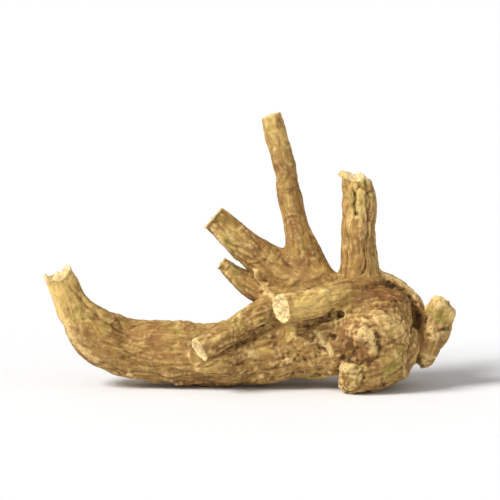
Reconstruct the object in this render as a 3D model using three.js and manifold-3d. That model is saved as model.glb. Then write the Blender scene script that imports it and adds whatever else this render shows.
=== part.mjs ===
// A dried ginseng root, lying on its belly. The taproot runs from a cut tail on the left, which curls up off
// the surface, to a swollen head on the right. The head ends in a short knotty neck, the rhizome. Branch
// roots, cut short, stand on the upper body and the head. It grew as one piece, so it is one solid.
// Units are millimetres, +Z is up, +X runs from the tail to the neck, and -Y is the root's front.
// The origin is the middle of its footprint on the surface.
import * as THREE from "three";
import { mergeVertices } from "three/addons/utils/BufferGeometryUtils.js";
import Module from "manifold-3d";

// Driving dimensions
const ROOT_SCALE = 1; // 1 makes the root 72 mm long
const THICK_STEP = 1.15; // distance between two sections of a thick limb
const THIN_STEP = 1.0; // and of a thin one
const MEAN_HALF_WAVE = 0.64; // taken off a row of half waves, so that rings keep a limb's radius
const CUT_DISH = 0.4; // how far a cut face is sunk in its middle
const TIP_SHARE = 0.03; // what is left of the radius at the very end of a rounded limb
const HALF_BALL = 2; // the power that rounds a limb's end as a half ball; more makes it blunter
const KNOB_UNEVEN = 0.35; // how far a knob swells and shrinks, as a share of its radius
const KNOB_GRAIN = 2; // how much finer its lumps are than a limb's
const SURFACE_SIZE = 200; // side of the block that trims the belly flat

const MATERIAL = { color: 0xb08c58, roughness: 0.85, metalness: 0 };

// Relief of the skin: rings run round a limb, furrows run along it, and lumps are uneven growth.
const SKINS = {
  taproot: { ringDepth: 0.2, ringPitch: 3.3, furrowDepth: 0.28, furrows: 6, lumps: 0.75 },
  head: { ringDepth: 0.5, ringPitch: 3.1, furrowDepth: 0.3, furrows: 4, lumps: 1.0 },
  branch: { ringDepth: 0.1, ringPitch: 2.6, furrowDepth: 0.18, furrows: 4, lumps: 0.25 },
  split: { ringDepth: 0.12, ringPitch: 3.3, furrowDepth: 0.34, furrows: 5, lumps: 0.35 },
  knot: { ringDepth: 0.35, ringPitch: 2.2, furrowDepth: 0.25, furrows: 3, lumps: 0.45 },
};

// Each limb's path is its middle line, as points of [x, y, z, radius]. A cut end's lean is how steeply its
// face rises towards +X and towards +Y. A round end's blunt is the power that rounds it.
const LIMBS = [
  {
    name: "taproot",
    path: [
      [-33.8, -2.2, 20.8, 2.6],
      [-31.0, -1.5, 14.2, 3.5],
      [-27.0, -0.6, 9.4, 4.8],
      [-21.4, 0.0, 7.0, 5.25],
      [-13.7, 0.2, 5.9, 5.6],
      [-6.2, 0.0, 5.6, 5.8],
      [2.0, 0.0, 6.5, 6.1],
      [9.4, 0.0, 8.1, 6.7],
      [15.6, -0.8, 9.7, 7.7],
      [21.6, -1.8, 10.0, 8.4],
      [28.7, -2.2, 9.6, 7.8],
    ],
    start: { lean: [0.0, 0.1] },
    end: { blunt: 3.2 },
    sides: 22,
    step: THICK_STEP,
    skin: SKINS.taproot,
  },
  {
    name: "shoulder", // the back half of the head, a thick disc whose rim shows above the front half
    path: [
      [22.0, 1.4, 10.0, 9.3],
      [22.0, 2.4, 10.0, 9.9],
      [21.9, 4.4, 9.7, 9.7],
      [21.6, 6.4, 9.4, 8.8],
      [21.2, 8.8, 9.2, 6.5],
    ],
    end: { blunt: HALF_BALL },
    sides: 22,
    step: THICK_STEP,
    skin: SKINS.head,
  },
  {
    name: "saddle", // the swelling that carries the upper branches
    path: [
      [18.0, 0.6, 11.5, 6.6],
      [13.8, 1.2, 14.0, 5.9],
      [9.6, 1.8, 17.0, 4.6],
      [7.2, 2.0, 19.0, 3.6],
    ],
    end: { blunt: HALF_BALL },
    sides: 20,
    step: THICK_STEP,
    skin: SKINS.head,
  },
  {
    name: "heel", // a blunt stub under the front of the head, which it rests on
    path: [
      [25.4, -3.0, 7.6, 4.6],
      [23.8, -4.8, 5.2, 4.4],
      [21.2, -5.9, 4.0, 4.0],
      [18.4, -6.4, 3.4, 3.5],
      [15.8, -6.4, 3.4, 3.2],
    ],
    end: { blunt: 2.6 },
    sides: 16,
    step: THIN_STEP,
    skin: SKINS.knot,
  },
  {
    name: "tall_branch",
    path: [
      [11.6, 2.4, 16.5, 4.4],
      [10.2, 3.0, 21.6, 3.5],
      [8.6, 3.6, 27.0, 2.5],
      [7.2, 4.6, 33.4, 2.3],
      [5.8, 5.8, 39.6, 2.15],
      [3.7, 7.4, 47.4, 1.75],
    ],
    end: { lean: [0.13, 0.03] },
    sides: 14,
    step: THIN_STEP,
    skin: SKINS.branch,
  },
  {
    name: "left_branch",
    path: [
      [9.8, 2.0, 17.8, 4.4],
      [4.2, 2.0, 21.1, 3.55],
      [-0.9, 1.6, 25.0, 2.95],
      [-6.4, 1.0, 30.0, 2.3],
    ],
    end: { lean: [0.07, -0.2] },
    sides: 16,
    step: THIN_STEP,
    skin: SKINS.branch,
  },
  {
    name: "upright_branch",
    path: [
      [19.9, 1.6, 13.0, 4.3],
      [19.5, 2.6, 20.5, 3.5],
      [19.3, 3.0, 27.6, 3.35],
      [19.3, 3.4, 32.6, 3.2],
      [18.9, 3.8, 36.6, 2.7],
    ],
    end: { lean: [-0.43, 0.2] },
    sides: 16,
    step: THIN_STEP,
    skin: SKINS.split,
  },
  {
    name: "front_branch",
    path: [
      [20.6, 0.2, 16.2, 3.7],
      [15.6, -4.1, 16.9, 3.1],
      [10.7, -7.3, 16.1, 2.75],
      [5.8, -9.8, 15.7, 2.6],
    ],
    end: { lean: [-0.13, 0.2] },
    sides: 16,
    step: THIN_STEP,
    skin: SKINS.branch,
  },
  {
    name: "low_branch",
    path: [
      [9.0, 1.2, 13.4, 4.2],
      [4.0, -2.2, 13.9, 3.3],
      [-2.0, -5.6, 11.6, 2.55],
      [-8.8, -8.4, 8.0, 2.25],
    ],
    end: { lean: [-0.1, 0.07] },
    sides: 16,
    step: THIN_STEP,
    skin: SKINS.branch,
  },
  {
    name: "small_branch",
    path: [
      [7.4, 1.8, 16.2, 3.0],
      [2.2, 2.8, 16.4, 2.4],
      [-2.0, 4.0, 18.9, 1.75],
      [-5.0, 5.0, 21.2, 1.1],
    ],
    end: { lean: [0.07, 0.07] },
    sides: 12,
    step: THIN_STEP,
    skin: SKINS.branch,
  },
  {
    name: "back_branch", // a cut branch behind, which reaches the surface and keeps the root from rolling
    path: [
      [10.5, 1.0, 7.6, 4.6],
      [8.6, 6.4, 5.4, 3.3],
      [6.6, 10.6, 3.2, 2.7],
      [4.0, 14.6, 1.9, 2.35],
    ],
    end: { lean: [0.1, 0.07] },
    sides: 14,
    step: THIN_STEP,
    skin: SKINS.branch,
  },
  {
    name: "neck_root", // where the neck leaves the head
    path: [
      [24.0, 2.6, 9.6, 3.6],
      [28.8, 2.0, 9.2, 2.6],
      [32.4, 0.4, 9.0, 2.6],
    ],
    end: { blunt: HALF_BALL },
    sides: 14,
    step: THIN_STEP,
    skin: SKINS.knot,
  },
  {
    name: "neck", // the knotty rhizome, broken off at its top
    path: [
      [30.4, -0.9, 3.5, 1.4],
      [31.4, -0.7, 6.0, 2.6],
      [32.4, -0.5, 9.4, 3.0],
      [33.3, -0.3, 12.4, 2.6],
      [34.0, 0.0, 15.4, 1.5],
    ],
    end: { lean: [0.17, -0.2] },
    sides: 16,
    step: THIN_STEP,
    skin: SKINS.knot,
  },
];

// Small knobs that stand out of the limbs: old stem scars on the neck, and stubs of rootlets.
const KNOBS = [
  { at: [34.8, -0.9, 12.9], radius: 1.5 },
  { at: [32.4, -2.5, 10.0], radius: 1.5 },
  { at: [31.3, -2.3, 6.3], radius: 1.4 },
  { at: [33.4, -1.1, 15.0], radius: 1.2 },
  { at: [17.6, -8.3, 4.9], radius: 1.5 },
  { at: [20.9, -9.3, 10.6], radius: 1.7 },
  { at: [17.5, 3.2, 36.6], radius: 1.3 },
  { at: [19.5, 3.0, 36.4], radius: 1.4 },
  { at: [26.2, 6.4, 15.4], radius: 1.9 },
];

// Uneven growth, from -1 to 1: slanted waves of three sizes that never line up.
function lump({ x, y, z }, seed) {
  const slow =
    Math.sin(0.61 * x + 0.33 * y + seed) +
    Math.sin(0.52 * y - 0.41 * z + 2.1 * seed) +
    Math.sin(0.57 * z + 0.37 * x - 1.3 * seed);
  const quick = Math.sin(1.35 * x - 0.9 * z + 3.1 * seed) + Math.sin(1.5 * y + 1.1 * z + 0.7 * seed);
  return (slow + 0.6 * quick) / 4.2;
}

// How far the skin stands out from the plain radius, at a length along a limb and an angle round it.
function relief(skin, along, angle, point, seed) {
  const growth = lump(point, seed);
  const wobble = 0.6 * Math.sin(angle + seed) + 1.3 * growth;
  const ring = Math.abs(Math.sin((Math.PI * (along + wobble)) / skin.ringPitch)) - MEAN_HALF_WAVE;
  const furrow = Math.cos(skin.furrows * angle + 0.13 * along + 2 * seed + growth);
  return skin.ringDepth * ring + skin.furrowDepth * furrow + skin.lumps * growth;
}

// The share of its radius that a rounded limb keeps at a distance from its end.
function rounding(left, endRadius, blunt) {
  const inside = Math.max(0, 1 - left / endRadius);
  return Math.max(TIP_SHARE, (1 - inside ** blunt) ** (1 / blunt));
}

// A limb as one closed tube along its path.
function limbGeometry(limb, seed) {
  const middles = limb.path.map(([x, y, z]) => new THREE.Vector3(x, y, z));
  const centre = new THREE.CatmullRomCurve3(middles, false, "catmullrom");
  const radii = new THREE.SplineCurve(limb.path.map((point, i) => new THREE.Vector2(i, point[3])));
  const length = centre.getLength();
  const sections = Math.max(3, Math.round(length / limb.step));
  const frames = centre.computeFrenetFrames(sections, false);
  const endRadius = limb.path.at(-1)[3];
  const corners = [];
  for (let i = 0; i <= sections; i++) {
    const along = (length * i) / sections;
    const t = centre.getUtoTmapping(i / sections);
    const middle = centre.getPoint(t);
    const plain = radii.getPoint(t).y;
    const share = limb.end.blunt ? rounding(length - along, endRadius, limb.end.blunt) : 1;
    for (let j = 0; j < limb.sides; j++) {
      const angle = (2 * Math.PI * j) / limb.sides;
      const out = new THREE.Vector3()
        .addScaledVector(frames.normals[i], Math.cos(angle))
        .addScaledVector(frames.binormals[i], Math.sin(angle));
      const skinPoint = middle.clone().addScaledVector(out, plain);
      const reach = share * (plain + relief(limb.skin, along, angle, skinPoint, seed));
      corners.push(middle.clone().addScaledVector(out, reach));
    }
  }
  const startPole = corners.push(centre.getPoint(0)) - 1;
  const endPole = corners.push(centre.getPoint(1)) - 1;
  const ringOf = (i) => corners.slice(i * limb.sides, (i + 1) * limb.sides);
  leanCut(ringOf(0), corners[startPole], frames.tangents[0].clone().negate(), limb.start);
  leanCut(ringOf(sections), corners[endPole], frames.tangents[sections], limb.end);
  return new THREE.BufferGeometry()
    .setFromPoints(corners)
    .setIndex(tubeFaces(sections, limb.sides, startPole, endPole));
}

// Tilts the ring round a cut face and sinks the face's middle. outward points out of the limb.
function leanCut(ring, pole, outward, cut) {
  if (!cut?.lean) return;
  const [leanX, leanY] = cut.lean;
  for (const corner of ring) {
    const rise = leanX * (corner.x - pole.x) + leanY * (corner.y - pole.y);
    corner.addScaledVector(outward, rise);
  }
  pole.addScaledVector(outward, -CUT_DISH);
}

// The triangles of a tube of rings that is closed at both ends round a pole.
function tubeFaces(sections, sides, startPole, endPole) {
  const faces = [];
  for (let j = 0; j < sides; j++) {
    const k = (j + 1) % sides;
    faces.push(startPole, k, j);
    for (let i = 0; i < sections; i++) {
      const a = i * sides;
      const b = a + sides;
      faces.push(a + j, a + k, b + k, a + j, b + k, b + j);
    }
    faces.push(endPole, sections * sides + j, sections * sides + k);
  }
  return faces;
}

// A knob as an uneven little ball.
function knobGeometry({ at, radius }, seed) {
  const geometry = new THREE.IcosahedronGeometry(radius, 1);
  geometry.translate(...at);
  const { position } = geometry.attributes;
  const middle = new THREE.Vector3(...at);
  for (let i = 0; i < position.count; i++) {
    const corner = new THREE.Vector3().fromBufferAttribute(position, i);
    const swell = 1 + KNOB_UNEVEN * lump(corner.clone().multiplyScalar(KNOB_GRAIN), seed);
    corner.sub(middle).multiplyScalar(swell).add(middle);
    position.setXYZ(i, corner.x, corner.y, corner.z);
  }
  return geometry;
}

const wasm = await Module();
wasm.setup();

// A closed geometry as a solid that can be joined and cut.
function solidFrom(geometry) {
  const bare = geometry.clone();
  bare.deleteAttribute("normal");
  bare.deleteAttribute("uv");
  const merged = mergeVertices(bare, 1e-4);
  return new wasm.Manifold(
    new wasm.Mesh({
      numProp: 3,
      vertProperties: new Float32Array(merged.attributes.position.array),
      triVerts: new Uint32Array(merged.index.array),
    }),
  );
}

// A solid back as a geometry.
function geometryFrom(solid) {
  const mesh = solid.getMesh();
  const geometry = new THREE.BufferGeometry();
  geometry.setAttribute("position", new THREE.BufferAttribute(mesh.vertProperties, mesh.numProp));
  geometry.setIndex(new THREE.BufferAttribute(mesh.triVerts, 1));
  geometry.computeVertexNormals();
  return geometry;
}

// All limbs and knobs as one body, trimmed flat where it lies on the surface.
function rootGeometry() {
  const grown = [...LIMBS.map(limbGeometry), ...KNOBS.map(knobGeometry)].map(solidFrom);
  const whole = grown.reduce((body, next) => body.add(next));
  const under = new THREE.BoxGeometry(SURFACE_SIZE, SURFACE_SIZE, SURFACE_SIZE);
  under.translate(0, 0, -SURFACE_SIZE / 2);
  return geometryFrom(whole.subtract(solidFrom(under)));
}

function buildRoot() {
  const geometry = rootGeometry();
  geometry.scale(ROOT_SCALE, ROOT_SCALE, ROOT_SCALE);
  geometry.computeBoundingBox();
  const { min, max } = geometry.boundingBox;
  const mesh = new THREE.Mesh(geometry, new THREE.MeshStandardMaterial(MATERIAL));
  mesh.name = "ginseng_root";
  mesh.position.set(-(min.x + max.x) / 2, -(min.y + max.y) / 2, -min.z);
  const group = new THREE.Group();
  group.add(mesh);
  return group;
}

export default buildRoot();
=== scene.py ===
"""A dried ginseng root, finished in full detail around its solid, on a plain pale floor.

The root is grown from limbs: round tubes along given middle lines, the same ones as the solid's. A
voxel remesh makes one skin of them, each vertex is drawn to a smooth joint between the limbs, and the skin
is then wrinkled in each limb's own space, so that furrows run along a limb and rings run round it.
Shapes are worked out in millimetres and stored in metres.
"""

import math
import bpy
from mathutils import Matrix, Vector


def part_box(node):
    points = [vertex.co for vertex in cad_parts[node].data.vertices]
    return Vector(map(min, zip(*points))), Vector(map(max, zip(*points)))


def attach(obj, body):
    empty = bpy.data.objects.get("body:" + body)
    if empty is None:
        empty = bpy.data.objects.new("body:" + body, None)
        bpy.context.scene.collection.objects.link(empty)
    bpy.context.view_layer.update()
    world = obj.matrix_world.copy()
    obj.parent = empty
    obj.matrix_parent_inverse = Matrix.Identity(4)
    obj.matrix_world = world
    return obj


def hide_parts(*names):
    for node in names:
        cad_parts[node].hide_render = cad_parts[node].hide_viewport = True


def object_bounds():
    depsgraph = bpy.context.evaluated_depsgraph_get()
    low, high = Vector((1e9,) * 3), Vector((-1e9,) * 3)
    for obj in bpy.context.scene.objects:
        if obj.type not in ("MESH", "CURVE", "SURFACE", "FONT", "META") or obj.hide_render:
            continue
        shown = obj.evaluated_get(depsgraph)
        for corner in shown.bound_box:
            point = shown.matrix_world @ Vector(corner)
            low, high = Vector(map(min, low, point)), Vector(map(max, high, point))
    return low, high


bl_info = {
    "name": "Dried Ginseng Root",
    "version": (1, 0, 0),
    "blender": (4, 5, 0),
    "location": "3D View > Sidebar > Ginseng",
    "description": "Grows a dried ginseng root from its limbs and sets it on a plain floor",
    "category": "Add Mesh",
}

from dataclasses import dataclass

import bmesh
import bpy
import numpy as np
from bpy.props import FloatProperty, FloatVectorProperty, PointerProperty
from bpy.types import Operator, Panel, PropertyGroup
from mathutils import Matrix, Vector, noise

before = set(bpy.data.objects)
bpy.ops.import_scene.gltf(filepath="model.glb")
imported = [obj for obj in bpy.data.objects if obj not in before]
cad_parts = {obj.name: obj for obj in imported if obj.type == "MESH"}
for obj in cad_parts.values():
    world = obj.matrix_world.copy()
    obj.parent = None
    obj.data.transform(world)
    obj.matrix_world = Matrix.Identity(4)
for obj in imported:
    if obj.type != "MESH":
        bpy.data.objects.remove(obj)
CAD_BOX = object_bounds()

MM = 0.001  # a millimetre in metres
ROOT_NODE = "ginseng_root"


def srgb(red, green, blue):
    """A colour given as screen values from 0 to 255, as the linear values that Blender works with."""
    return tuple((part / 255) ** 2.2 for part in (red, green, blue))


# The root's limbs


@dataclass(frozen=True)
class Skin:
    """How strongly each kind of relief shows on a limb, as shares of the sizes in the settings."""

    lumps: float
    bumps: float
    furrows: float
    rings: float
    warts: float
    pits: float


SMOOTH = Skin(lumps=0.6, bumps=0.15, furrows=0.65, rings=0.15, warts=0.3, pits=0.25)
ROUGH = Skin(lumps=1.0, bumps=0.5, furrows=0.45, rings=0.55, warts=0.9, pits=0.9)
RIM = Skin(lumps=0.5, bumps=0.15, furrows=0.25, rings=0.35, warts=0.3, pits=0.2)
BRANCH = Skin(lumps=0.38, bumps=0.15, furrows=0.5, rings=0.45, warts=0.35, pits=0.2)
SPLIT = Skin(lumps=0.45, bumps=0.2, furrows=0.95, rings=0.2, warts=0.3, pits=0.2)
KNOTTY = Skin(lumps=0.9, bumps=0.75, furrows=0.35, rings=0.5, warts=0.9, pits=0.9)


@dataclass(frozen=True)
class Limb:
    """A tube along points of (x, y, z, radius), in millimetres.

    An end is buried in another limb, round, flat or cut. A cut's lean is how steeply it rises
    towards +X and towards +Y.
    """

    name: str
    path: tuple
    skin: Skin
    soft: float = 1.6  # how far its joint with the other limbs is rounded
    far_soft: float = None  # the same at its far end, where that differs
    start: str = "buried"
    end: str = "cut"
    lean: tuple = (0.0, 0.0)
    blunt: float = 2.0
    ragged: float = 0.25
    far_skin: Skin = None  # the skin at its far end


LIMBS = (
    Limb(
        "taproot",
        (
            (-33.8, -2.2, 20.8, 2.6),
            (-31.0, -1.5, 14.2, 3.5),
            (-27.0, -0.6, 9.4, 4.8),
            (-21.4, 0.0, 7.0, 5.25),
            (-13.7, 0.2, 5.9, 5.6),
            (-6.2, 0.0, 5.6, 5.8),
            (2.0, 0.0, 6.5, 6.1),
            (9.4, 0.0, 8.1, 6.7),
            (15.6, -0.8, 9.7, 7.7),
            (21.6, -1.8, 10.0, 8.4),
            (28.7, -2.2, 9.6, 7.8),
        ),
        SMOOTH,
        start="cut",
        end="round",
        lean=(0.0, 0.1),
        blunt=3.2,
        ragged=0.35,
        far_skin=ROUGH,
    ),
    Limb(
        "shoulder",
        (
            (22.0, 1.4, 10.0, 9.3),
            (22.0, 2.4, 10.0, 9.9),
            (21.9, 4.4, 9.7, 9.7),
            (21.6, 6.4, 9.4, 8.8),
            (21.2, 8.8, 9.2, 6.5),
        ),
        RIM,
        soft=0.5,
        start="flat",
        end="round",
        far_skin=ROUGH,
    ),
    Limb(
        "saddle",
        (
            (18.0, 0.6, 11.5, 6.6),
            (13.8, 1.2, 14.0, 5.9),
            (9.6, 1.8, 17.0, 4.6),
            (7.2, 2.0, 19.0, 3.6),
        ),
        ROUGH,
        soft=2.4,
        end="round",
    ),
    Limb(
        "heel",
        (
            (25.4, -3.0, 7.6, 4.6),
            (23.8, -4.8, 5.2, 4.4),
            (21.2, -5.9, 4.0, 4.0),
            (18.4, -6.4, 3.4, 3.5),
            (15.8, -6.4, 3.4, 3.2),
        ),
        KNOTTY,
        soft=2.6,
        far_soft=0.6,
        end="round",
        blunt=2.6,
    ),
    Limb(
        "tall_branch",
        (
            (11.6, 2.4, 16.5, 4.4),
            (10.2, 3.0, 21.6, 3.5),
            (8.6, 3.6, 27.0, 2.5),
            (7.2, 4.6, 33.4, 2.3),
            (5.8, 5.8, 39.6, 2.15),
            (3.7, 7.4, 47.4, 1.75),
        ),
        BRANCH,
        lean=(0.13, 0.03),
    ),
    Limb(
        "left_branch",
        (
            (9.8, 2.0, 17.8, 4.4),
            (4.2, 2.0, 21.1, 3.55),
            (-0.9, 1.6, 25.0, 2.95),
            (-6.4, 1.0, 30.0, 2.3),
        ),
        BRANCH,
        lean=(0.07, -0.2),
    ),
    Limb(
        "upright_branch",
        (
            (19.9, 1.6, 13.0, 4.3),
            (19.5, 2.6, 20.5, 3.5),
            (19.3, 3.0, 27.6, 3.35),
            (19.3, 3.4, 32.6, 3.2),
            (18.9, 3.8, 36.6, 2.7),
        ),
        SPLIT,
        lean=(-0.43, 0.2),
        ragged=0.7,
    ),
    Limb(
        "front_branch",
        (
            (20.6, 0.2, 16.2, 3.7),
            (15.6, -4.1, 16.9, 3.1),
            (10.7, -7.3, 16.1, 2.75),
            (5.8, -9.8, 15.7, 2.6),
        ),
        BRANCH,
        soft=1.0,
        far_soft=0.3,
        lean=(-0.13, 0.2),
        ragged=0.35,
    ),
    Limb(
        "low_branch",
        (
            (9.0, 1.2, 13.4, 4.2),
            (4.0, -2.2, 13.9, 3.3),
            (-2.0, -5.6, 11.6, 2.55),
            (-8.8, -8.4, 8.0, 2.25),
        ),
        BRANCH,
        soft=1.4,
        far_soft=0.3,
        lean=(-0.1, 0.07),
    ),
    Limb(
        "small_branch",
        (
            (7.4, 1.8, 16.2, 3.0),
            (2.2, 2.8, 16.4, 2.4),
            (-2.0, 4.0, 18.9, 1.75),
            (-5.0, 5.0, 21.2, 1.1),
        ),
        BRANCH,
        lean=(0.07, 0.07),
    ),
    Limb(
        "back_branch",
        (
            (10.5, 1.0, 7.6, 4.6),
            (8.6, 6.4, 5.4, 3.3),
            (6.6, 10.6, 3.2, 2.7),
            (4.0, 14.6, 1.9, 2.35),
        ),
        BRANCH,
        lean=(0.1, 0.07),
    ),
    Limb(
        "neck_root",
        (
            (24.0, 2.6, 9.6, 3.6),
            (28.8, 2.0, 9.2, 2.6),
            (32.4, 0.4, 9.0, 2.6),
        ),
        KNOTTY,
        soft=0.8,
        end="round",
    ),
    Limb(
        "neck",
        (
            (30.4, -0.9, 3.5, 1.4),
            (31.4, -0.7, 6.0, 2.6),
            (32.4, -0.5, 9.4, 3.0),
            (33.3, -0.3, 12.4, 2.6),
            (34.0, 0.0, 15.4, 1.5),
        ),
        KNOTTY,
        soft=0.8,
        start="round",
        lean=(0.17, -0.2),
        ragged=0.5,
    ),
)

# Knobs, as (x, y, z, radius): old stem scars on the neck, and stubs of rootlets.
KNOBS = (
    (34.8, -0.9, 12.9, 1.5),
    (32.4, -2.5, 10.0, 1.5),
    (31.3, -2.3, 6.3, 1.4),
    (33.4, -1.1, 15.0, 1.2),
    (17.6, -8.3, 4.9, 1.5),
    (20.9, -9.3, 10.6, 1.7),
    (17.5, 3.2, 36.6, 1.3),
    (19.5, 3.0, 36.4, 1.4),
    (26.2, 6.4, 15.4, 1.9),
)

# Where marks and stains lie. A place of three numbers is (x, y, z), drawn to the nearest skin. A place of
# two is (across, up) in a view from the front that looks down a little, on the skin that is seen there.
LOOK_DOWN = math.radians(10)  # how far the front view looks down
SIGHT_WIDTH = 0.5  # how far beside a place in the front view the skin may be found


@dataclass(frozen=True)
class Mark:
    """A single ridge, groove, pit or wart along places on the skin, in millimetres."""

    path: tuple
    width: float
    height: float  # above 0 it stands out, below 0 it is sunk
    worn: float = 0.0
    # Dirt darkens the skin's colour towards the dirt colour; on some marks it is a painted shadow
    dirt: float = 0.0


MARKS = (
    # The forked pale wart on the front of the head, and the hollows beside it
    Mark(((19.2, 8.5), (20.3, 10.3), (21.0, 8.9), (21.8, 6.6)), 1.4, 0.6, worn=0.85),
    Mark(((20.7, 10.4), (20.9, 8.9), (20.5, 7.4)), 0.7, -0.4, dirt=0.5),
    Mark(((22.5, 9.2), (22.8, 6.9)), 0.9, -0.4, dirt=0.5),
    Mark(((17.8, 7.6), (18.4, 5.5)), 1.6, -0.5, dirt=0.45),
    # The bulge beside the fork
    Mark(((23.5, 12.3), (26.5, 10.6)), 3.4, 0.6, worn=0.3),
    # The head's rim, paled along its edge as a painted highlight, and the groove between it and the head's
    # front, a shallow dip whose dark colour is painted shade in the crevice
    Mark(((23.5, 2.0, 19.7), (26.0, 2.0, 18.9), (28.1, 2.0, 17.5), (29.9, 2.0, 15.6)), 1.4, 0.15, worn=1.0),
    Mark(((29.9, 2.0, 15.6), (31.0, 2.0, 13.6), (31.6, 2.0, 11.5)), 1.1, 0.1, worn=0.8),
    Mark(((21.8, 17.3), (23.2, 1.4, 18.5), (25.0, 1.4, 17.9), (26.9, 1.4, 16.9)), 0.9, -0.25, dirt=0.35),
    Mark(
        ((26.9, 1.4, 16.9), (28.5, 1.4, 15.4), (29.7, 1.4, 13.5), (30.5, 1.4, 11.5)),
        1.0,
        -0.3,
        dirt=0.75,
    ),
    Mark(((30.5, 1.4, 11.5), (30.5, 1.4, 8.5), (29.4, 1.4, 5.8), (28.0, 1.4, 4.4)), 1.1, -0.4, dirt=0.9),
    # The line below the front branch, a groove darkened as a painted shadow of the branch, a faint line
    # above it darkened as painted shade, and the pit below it
    Mark(((8.7, 10.8), (10.7, 10.9), (13.1, 11.8), (15.6, 12.6)), 0.8, -0.45, dirt=0.55),
    Mark(((15.6, 12.6), (18.1, 13.8), (20.1, 15.8), (21.6, 17.3)), 1.1, -0.3, dirt=0.35),
    Mark(((15.6, 12.6), (16.1, 12.7)), 1.0, -1.3, dirt=1.0),
    Mark(((6.0, 17.5), (9.4, 17.9), (12.7, 18.8)), 0.8, -0.2, dirt=0.2),
    # The pale ridge that comes down to the front branch's end
    Mark(((1.3, 19.8), (1.8, 18.8), (2.5, 17.7), (3.1, 16.6)), 1.1, 0.7, worn=1.0),
    Mark(((2.5, 17.7), (3.1, 16.6), (4.0, -3.6, 16.6), (4.7, -5.4, 16.2)), 1.0, 0.4, worn=0.65),
    # The line above the heel, two pits in it, and the heel's knob, a low wart paled as a painted highlight
    Mark(((16.6, 4.8), (18.1, 4.5), (19.4, 4.2), (21.1, 4.4), (22.4, 5.1)), 0.8, -0.35, dirt=0.8),
    Mark(((19.1, 4.5),), 0.9, -0.6, dirt=1.0),
    Mark(((21.1, 4.2),), 0.9, -0.5, dirt=1.0),
    Mark(((18.0, 3.0),), 1.4, 0.4, worn=0.9),
    # Pits and ridges between the front branch and the heel
    Mark(((14.4, 8.7),), 0.9, -0.8, dirt=0.9),
    Mark(((12.1, 9.0), (13.1, 7.9), (14.5, 6.0)), 1.1, 0.55, worn=0.7),
    Mark(((17.1, 9.3), (18.3, 10.5)), 1.0, 0.35, worn=0.3),
    Mark(((27.1, 7.6),), 1.0, -0.3, dirt=0.4),
    # The tail's left edge, paled as a painted highlight on its lit side over a very low ridge, and two warts
    # low on the belly
    Mark(((-35.2, 16.7), (-34.0, 13.3), (-32.0, 9.7)), 1.3, 0.1, worn=1.0),
    Mark(((-32.0, 9.7), (-29.7, 6.5), (-27.3, 4.7)), 1.4, 0.1, worn=1.0),
    Mark(((-21.1, 2.1),), 0.8, 0.4, worn=0.8),
    Mark(((2.0, 1.7),), 0.8, 0.4, worn=0.8),
    # The neck's waist
    Mark(((35.0, 10.2), (33.2, 9.8), (31.2, 9.0)), 0.7, -0.35, dirt=0.5),
    # The upright branch's slit and the groove beside it
    Mark(((18.0, 34.7), (18.5, 33.2), (18.3, 32.0), (18.8, 30.6)), 0.65, -0.55, dirt=0.8),
    Mark(((21.0, 34.1), (20.7, 31.8), (21.3, 29.4)), 0.65, -0.35, dirt=0.4),
    # The left branch's pale lower edge
    Mark(((-6.4, 27.7), (-5.2, 26.0), (-4.0, 24.3)), 1.0, 0.1, worn=0.8),
    # The line below the low branch: a shallow groove darkened as a painted shadow of the branch
    Mark(((-5.4, 6.2), (-2.7, 7.5), (0.0, 8.8), (2.7, 10.4)), 0.8, -0.5, dirt=0.6),
    # The back of the head: a rootlet's scar, and the grooves beside it
    Mark(
        ((16.6, 8.6, 6.2), (18.2, 8.6, 7.8), (19.9, 8.6, 6.4), (18.4, 8.6, 4.5), (16.6, 8.6, 6.2)),
        1.0,
        0.45,
        worn=0.7,
    ),
    Mark(((18.3, 8.6, 6.2),), 1.0, -0.5, dirt=0.8),
    Mark(((27.2, 6.6, 15.0), (28.0, 7.2, 11.6), (26.6, 7.8, 8.2), (27.2, 7.0, 5.0)), 0.9, -0.4, dirt=0.6),
    Mark(((22.6, 8.8, 13.6), (23.4, 8.8, 11.0), (22.2, 8.8, 9.2)), 1.1, 0.4, worn=0.5),
    Mark(((14.6, 6.8, 13.4), (15.6, 7.6, 10.2), (14.4, 7.2, 7.6), (15.2, 6.8, 4.8)), 1.0, -0.45, dirt=0.6),
    Mark(((22.8, 8.6, 4.2),), 1.2, -0.5, dirt=0.7),
    # The back of the saddle
    Mark(((12.0, 6.4, 12.6), (10.4, 6.2, 16.0), (10.8, 5.8, 19.6), (9.9, 5.6, 22.6)), 0.8, -0.4, dirt=0.5),
    Mark(((3.4, 5.6, 19.0), (6.0, 5.8, 17.0), (7.2, 6.4, 14.0)), 0.8, -0.4, dirt=0.5),
    Mark(((6.2, 5.6, 20.6), (7.4, 6.0, 18.4), (8.8, 6.4, 16.8)), 1.1, 0.45, worn=0.6),
    # The back of the taproot: broken rings, warts and a ridge
    Mark(((-10.4, 4.6, 9.4), (-10.0, 6.2, 6.0), (-10.6, 5.0, 2.6)), 0.8, -0.35, dirt=0.5),
    Mark(((-19.6, 4.4, 9.4), (-19.2, 5.6, 6.6), (-19.9, 4.6, 4.0)), 0.7, -0.3, dirt=0.45),
    Mark(((-4.6, 6.4, 5.0), (-1.4, 6.6, 6.6), (1.8, 6.6, 6.2)), 1.1, 0.4, worn=0.6),
    Mark(((-14.8, 5.8, 7.2),), 0.9, 0.5, worn=0.9),
    Mark(((-25.4, 4.4, 9.8),), 0.8, 0.4, worn=0.8),
)

# Torn ends, as two points of a line through the limb, the width, and how far the skin is pulled there.
TEARS = (
    ((-35.2, -5.0, 20.4), (-35.2, 1.0, 20.9), 1.1, (0.35, 0.0, -1.2)),
    ((-33.7, -5.0, 20.9), (-33.7, 1.0, 21.4), 1.6, (0.3, 0.0, -0.9)),
)
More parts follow.
